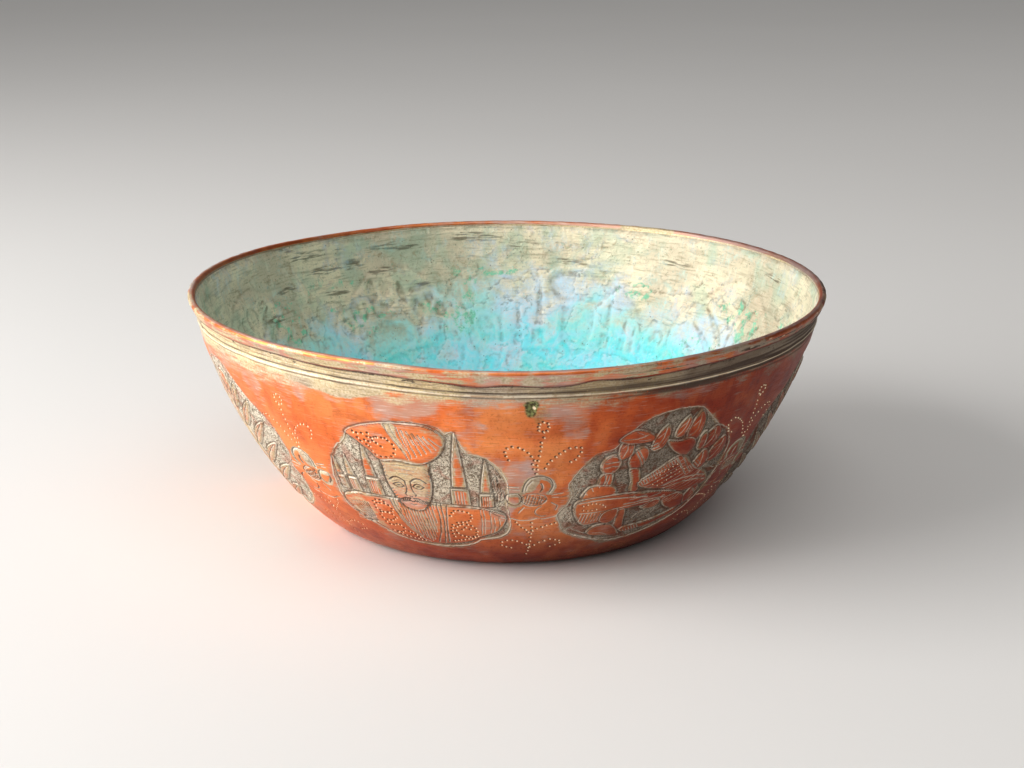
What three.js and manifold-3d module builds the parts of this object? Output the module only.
// A raised, tinned copper bowl with a wired hem and a ring of chased medallions.
// Millimetres, +Z up. The origin is the middle of the resting face.
import * as THREE from "three";
import { mergeVertices } from "three/addons/utils/BufferGeometryUtils.js";
import Module from "manifold-3d";

// Overall form
const RIM_RADIUS = 110; // outside of the hem
const BOWL_HEIGHT = 78; // resting face to the crest of the hem
const FOOT_RADIUS = 62; // outer edge of the flat standing ring
const FOOT_RING_WIDTH = 16; // the flat that the bowl stands on
const KICK_UP = 0.8; // rise of the middle of the base
const BASE_GAUGE = 1.2; // sheet left thick in the base
const RIM_GAUGE = 0.7; // sheet stretched thin at the rim

// Wall curve, from the heel to the hem
const HEEL_RADIUS = 10;
const WALL_START_ANGLE = 40; // degrees from level, where the heel ends
const WALL_START_PULL = 30;
const WALL_END_ANGLE = 82;
const WALL_END_PULL = 16;

// Wired hem and the raised line under it
const WIRE_RADIUS = 0.4;
const WIRE_CLEARANCE = 0.1; // between the wire and the fold round it
const WIRE_BUTT_GAP = 1.5; // where the wire's two ends meet
const HEM_HEIGHT = 4; // crest to the cut edge of the folded leg
const HEM_GAP = 0.3; // cut edge to the wall behind it
const BEAD_DROP = 6.6; // crest to the middle of the raised line
const BEAD_WIDTH = 1.2;
const BEAD_RISE = 0.35;

// Tin coat inside
const TIN_THICKNESS = 0.2;
const TIN_SEAT = 0.02; // the coat is drawn this far off the copper that it is fused to
const TIN_MARGIN = 2; // bare copper left below the crest

// Medallions chased into the wall
const MEDALLION_WIDTH = 61; // measured along the wall
const MEDALLION_HEIGHT = 50;
const MEDALLION_MIDDLE = 35.5; // height of the middle above the resting face
const MEDALLION_TURNS = [-18, 29.5, 74, 118.5, 163, 207, 250.5, 294]; // degrees, spaced by eye
const CHASE_DEPTH = 0.4; // ground beaten back below the figures

// Smoothness
const SEGMENTS = 48;
const HEEL_STEPS = 2;
const WALL_ROWS = 7;
const FOLD_STEPS = 5;
const WIRE_SIDES = 6;
const FIELD_STEPS = 22;
const FIGURE_STEPS = 10;
const OVAL_STEPS = 9;

const wasm = await Module();
wasm.setup();

const point = (r, z) => new THREE.Vector2(r, z);
const radians = THREE.MathUtils.degToRad;

// The heel is an arc off the flat foot; the wall is one curve from it to the fold of the hem.
const FOLD_INNER = WIRE_RADIUS + WIRE_CLEARANCE;
const FOLD_OUTER = FOLD_INNER + RIM_GAUGE;
const foldCentre = point(RIM_RADIUS - FOLD_OUTER, BOWL_HEIGHT - FOLD_OUTER);
const heelPoint = (angle) =>
  point(FOOT_RADIUS + HEEL_RADIUS * Math.sin(angle), HEEL_RADIUS * (1 - Math.cos(angle)));
const wallStart = heelPoint(radians(WALL_START_ANGLE));
const wallEnd = point(foldCentre.x - FOLD_INNER, foldCentre.y);
const along = (from, degrees, distance) =>
  point(
    from.x + distance * Math.cos(radians(degrees)),
    from.y + distance * Math.sin(radians(degrees)),
  );
const wallCurve = new THREE.CubicBezierCurve(
  wallStart,
  along(wallStart, WALL_START_ANGLE, WALL_START_PULL),
  along(wallEnd, WALL_END_ANGLE, -WALL_END_PULL),
  wallEnd,
);

// A place on the outside of the wall at a given height, with the direction that faces outwards.
function wallAt(height) {
  let low = 0;
  let high = 1;
  while (high - low > 1e-9) {
    const middle = (low + high) / 2;
    if (wallCurve.getPoint(middle).y < height) low = middle;
    else high = middle;
  }
  const tangent = wallCurve.getTangent(low);
  return { at: wallCurve.getPoint(low), out: point(tangent.y, -tangent.x) };
}

// The sheet thins steadily from the foot to the rim.
const gaugeAt = (height) => THREE.MathUtils.lerp(BASE_GAUGE, RIM_GAUGE, height / BOWL_HEIGHT);
const offset = (place, distance) => place.at.clone().addScaledVector(place.out, distance);

const TIN_TOP = BOWL_HEIGHT - TIN_MARGIN;
const BEAD_MIDDLE = BOWL_HEIGHT - BEAD_DROP;
const HEM_EDGE = BOWL_HEIGHT - HEM_HEIGHT;

// Rows shared by the outside, the inside and the tin coat, so that their facets lie together.
function heelPlaces() {
  const places = [];
  for (let i = 0; i < HEEL_STEPS; i++) {
    const angle = (radians(WALL_START_ANGLE) * i) / HEEL_STEPS;
    places.push({ at: heelPoint(angle), out: point(Math.sin(angle), -Math.cos(angle)) });
  }
  return places;
}
function wallPlaces(top, rows) {
  const places = [];
  for (let i = 0; i <= rows; i++) {
    places.push(wallAt(THREE.MathUtils.lerp(wallStart.y, top, i / rows)));
  }
  return places;
}
const bodyPlaces = [...heelPlaces(), ...wallPlaces(BEAD_MIDDLE - BEAD_WIDTH / 2, WALL_ROWS)];

// The base is dished up inside its standing ring. The lift is from the sheet's underside.
function baseFace(lift) {
  const ringInside = FOOT_RADIUS - FOOT_RING_WIDTH;
  const dome = (r) => KICK_UP * (1 - (r / ringInside) ** 2);
  return [0, ringInside / 2, ringInside].map((r) => point(r, dome(r) + lift));
}

function beadProfile() {
  const side = [-1 / 2, -1 / 5, 1 / 5, 1 / 2];
  const rise = [0, BEAD_RISE, BEAD_RISE, 0];
  return side.map((s, i) => offset(wallAt(BEAD_MIDDLE + s * BEAD_WIDTH), rise[i])).slice(1);
}

function foldArc(radius, from, to) {
  const points = [];
  for (let i = 0; i <= FOLD_STEPS; i++) {
    const angle = THREE.MathUtils.lerp(from, to, i / FOLD_STEPS);
    points.push(
      point(foldCentre.x + radius * Math.cos(angle), foldCentre.y + radius * Math.sin(angle)),
    );
  }
  return points;
}

// The folded leg leans in under the wire until its cut edge is a hair from the wall.
function hemLeg() {
  const wall = wallAt(HEM_EDGE).at;
  return [
    point(wall.x + HEM_GAP, HEM_EDGE),
    point(wall.x + HEM_GAP + RIM_GAUGE, HEM_EDGE),
  ];
}

function insideFace(extra) {
  const places = [...bodyPlaces, wallAt(TIN_TOP)];
  const wall = places.map((place) => offset(place, -gaugeAt(place.at.y) - extra));
  return [...baseFace(BASE_GAUGE + extra), ...wall];
}

function shellProfile() {
  const outside = [
    ...baseFace(0),
    ...bodyPlaces.map((place) => place.at),
    ...beadProfile(),
    wallAt(HEM_EDGE).at,
  ];
  const fold = [
    ...foldArc(FOLD_INNER, Math.PI, 0),
    ...hemLeg(),
    ...foldArc(FOLD_OUTER, 0, Math.PI),
  ];
  return [...outside, ...fold, ...insideFace(0).reverse()];
}

function tinProfile() {
  return [...insideFace(TIN_SEAT), ...insideFace(TIN_SEAT + TIN_THICKNESS).reverse()];
}

function wireProfile() {
  const points = [];
  for (let i = 0; i <= WIRE_SIDES; i++) {
    const angle = (2 * Math.PI * i) / WIRE_SIDES;
    points.push(
      point(
        foldCentre.x + WIRE_RADIUS * Math.cos(angle),
        foldCentre.y + WIRE_RADIUS * Math.sin(angle),
      ),
    );
  }
  return points;
}

// A profile turned about +Z, and geometry to and from a solid that can be cut.
function turned(profile) {
  return new THREE.LatheGeometry(profile, SEGMENTS).rotateX(Math.PI / 2);
}
function solid(geometry) {
  const bare = geometry.clone();
  bare.deleteAttribute("normal");
  bare.deleteAttribute("uv");
  const merged = mergeVertices(bare, 1e-4);
  return new wasm.Manifold(
    new wasm.Mesh({
      numProp: 3,
      vertProperties: new Float32Array(merged.attributes.position.array),
      triVerts: new Uint32Array(merged.index.array),
    }),
  );
}
function geometryOf(made) {
  const mesh = made.getMesh();
  return new THREE.BufferGeometry()
    .setAttribute("position", new THREE.BufferAttribute(mesh.vertProperties, 3))
    .setIndex(new THREE.BufferAttribute(mesh.triVerts, 1));
}

// Medallion outlines are drawn in a square that runs from -1 to 1 both ways,
// and scaled to the medallion's width and height when they are wrapped round the wall.
const outline = (pairs) => pairs.map(([x, y]) => point(x, y));
const smooth = (steps, pairs) =>
  new THREE.SplineCurve(outline([...pairs, pairs[0]])).getPoints(steps).slice(0, -1);
const oval = (x, y, halfWidth, halfHeight) =>
  new THREE.EllipseCurve(x, y, halfWidth, halfHeight).getPoints(OVAL_STEPS).slice(0, -1);

// A slender tower: a wide foot, a shaft that narrows and a pointed cap.
function tower(x, foot, top, halfWidth) {
  const shoulder = THREE.MathUtils.lerp(foot, top, 0.3);
  return outline([
    [x - halfWidth, foot],
    [x + halfWidth, foot],
    [x + halfWidth * 0.7, shoulder],
    [x, top],
    [x - halfWidth * 0.7, shoulder],
  ]);
}

// A pointed leaf that grows from (x, y) in a direction given in degrees.
function leaf(x, y, degrees, length, halfWidth) {
  const base = point(0, 0);
  const halfLeaf = [[0, 0], [0.35, 1], [0.75, 0.7]];
  const otherHalf = [[1, 0], [0.75, -0.7], [0.35, -1]];
  return outline([...halfLeaf, ...otherHalf]).map((place) =>
    point(place.x * length, place.y * halfWidth)
      .rotateAround(base, radians(degrees))
      .add(point(x, y)),
  );
}

const bust = {
  field: smooth(FIELD_STEPS, [
    [-0.87, -0.24], [-1, -0.46], [-0.86, -0.72], [-0.5, -0.92], [0.1, -1],
    [0.62, -0.9], [0.95, -0.64], [0.97, -0.2], [0.88, 0.26], [0.6, 0.56],
    [0.43, 0.88], [0, 0.98], [-0.45, 0.86], [-0.72, 0.56], [-0.93, 0.1],
  ]),
  figures: [
    smooth(FIGURE_STEPS, [
      [-0.52, 0.6], [-0.26, 0.4], [0.12, 0.4], [0.36, 0.56], [0.33, 0.8], [0, 0.9], [-0.38, 0.8],
    ]),
    oval(-0.03, 0.06, 0.26, 0.36),
    tower(-0.72, -0.22, 0.34, 0.07),
    tower(-0.45, -0.22, 0.5, 0.09),
    tower(0.46, -0.22, 0.78, 0.11),
    tower(0.75, -0.22, 0.42, 0.09),
    smooth(FIGURE_STEPS, [
      [-0.92, -0.44], [-0.76, -0.72], [-0.3, -0.9], [0.2, -0.92], [0.66, -0.8],
      [0.9, -0.52], [0.86, -0.28], [0, -0.24], [-0.8, -0.28],
    ]),
  ],
};

const garden = {
  field: smooth(FIELD_STEPS, [
    [-0.94, -0.2], [-1, -0.42], [-0.9, -0.7], [-0.6, -0.92], [0, -1],
    [0.6, -0.82], [0.98, -0.4], [0.96, 0.1], [0.8, 0.5], [0.46, 0.8],
    [0.05, 1], [-0.34, 0.84], [-0.62, 0.5], [-0.92, 0.16],
  ]),
  figures: [
    oval(-0.55, 0.36, 0.13, 0.2),
    oval(-0.24, 0.36, 0.15, 0.18),
    oval(0.32, 0.68, 0.12, 0.2),
    leaf(-0.02, 0.42, 90, 0.44, 0.12),
    smooth(FIGURE_STEPS, [
      [0, 0.4], [0.5, 0.3], [0.62, -0.1], [0.1, -0.2], [-0.2, -0.06], [0.12, 0.12],
    ]),
    smooth(FIGURE_STEPS, [
      [-0.88, -0.44], [-0.72, -0.74], [-0.2, -0.9], [0.4, -0.8], [0.84, -0.5],
      [0.7, -0.3], [0, -0.36], [-0.6, -0.24],
    ]),
  ],
};

const spray = {
  field: garden.field.map(({ x, y }) => point(-x, y)).reverse(),
  figures: [
    oval(0, 0.66, 0.18, 0.2),
    leaf(0.03, 0.2, 50, 0.5, 0.12),
    leaf(-0.03, 0.2, 130, 0.5, 0.12),
    leaf(0.03, -0.2, 30, 0.66, 0.14),
    leaf(-0.03, -0.2, 150, 0.66, 0.14),
    leaf(0.03, -0.6, 20, 0.66, 0.13),
    leaf(-0.03, -0.6, 160, 0.66, 0.13),
  ],
};

// The motifs in their order round the bowl; the order runs twice.
const MOTIFS = [bust, garden, spray, spray];

// An outline standing on the wall, drawn out along the bowl's own radii.
const wrapRadius = wallAt(MEDALLION_MIDDLE).at.x;
function radialPrism(shape, turn) {
  const scaled = shape.map(({ x, y }) =>
    point((x * MEDALLION_WIDTH) / 2, MEDALLION_MIDDLE + (y * MEDALLION_HEIGHT) / 2),
  );
  const inner = FOOT_RADIUS / 2; // well inside the wall
  const depth = 1.2 * RIM_RADIUS - inner; // and well outside it
  const prism = new THREE.ExtrudeGeometry(new THREE.Shape(scaled), {
    depth,
    bevelEnabled: false,
  });
  const place = prism.attributes.position;
  for (let i = 0; i < place.count; i++) {
    const radius = inner + place.getZ(i);
    const angle = turn + place.getX(i) / wrapRadius;
    place.setXYZ(i, radius * Math.sin(angle), -radius * Math.cos(angle), place.getY(i));
  }
  return solid(prism);
}

// The thin layer of the wall that the chasing tools reach.
function chasedLayer() {
  const clear = 2;
  const deep = bodyPlaces.map((place) => offset(place, -CHASE_DEPTH));
  const proud = bodyPlaces.map((place) => offset(place, clear));
  return solid(turned([...proud, ...deep.reverse(), proud[0].clone()]));
}

function chased(shell) {
  const layer = chasedLayer();
  let made = shell;
  MEDALLION_TURNS.forEach((degrees, i) => {
    const turn = radians(degrees);
    const { field, figures } = MOTIFS[i % MOTIFS.length];
    let ground = radialPrism(field, turn);
    for (const figure of figures) ground = ground.subtract(radialPrism(figure, turn));
    made = made.subtract(ground.intersect(layer));
  });
  return made;
}

function rimWire() {
  const ring = solid(turned(wireProfile()));
  const gap = new THREE.BoxGeometry(WIRE_BUTT_GAP, 4 * WIRE_RADIUS, 4 * WIRE_RADIUS);
  gap.translate(0, foldCentre.x, foldCentre.y);
  return ring.subtract(solid(gap));
}

const copper = new THREE.MeshStandardMaterial({
  color: 0xc8643c,
  roughness: 0.42,
  metalness: 1,
  name: "copper",
});
const tin = new THREE.MeshStandardMaterial({
  color: 0xb4b09a,
  roughness: 0.6,
  metalness: 0.6,
  name: "tin",
});
const iron = new THREE.MeshStandardMaterial({
  color: 0x5a544e,
  roughness: 0.6,
  metalness: 1,
  name: "iron",
});

function piece(name, geometry, material) {
  const mesh = new THREE.Mesh(geometry, material);
  mesh.name = name;
  return mesh;
}

const group = new THREE.Group();
group.name = "copper_bowl";
group.add(piece("copper_shell", geometryOf(chased(solid(turned(shellProfile())))), copper));
group.add(piece("rim_wire", geometryOf(rimWire()), iron));
group.add(piece("tin_lining", turned(tinProfile()), tin));

export default group;
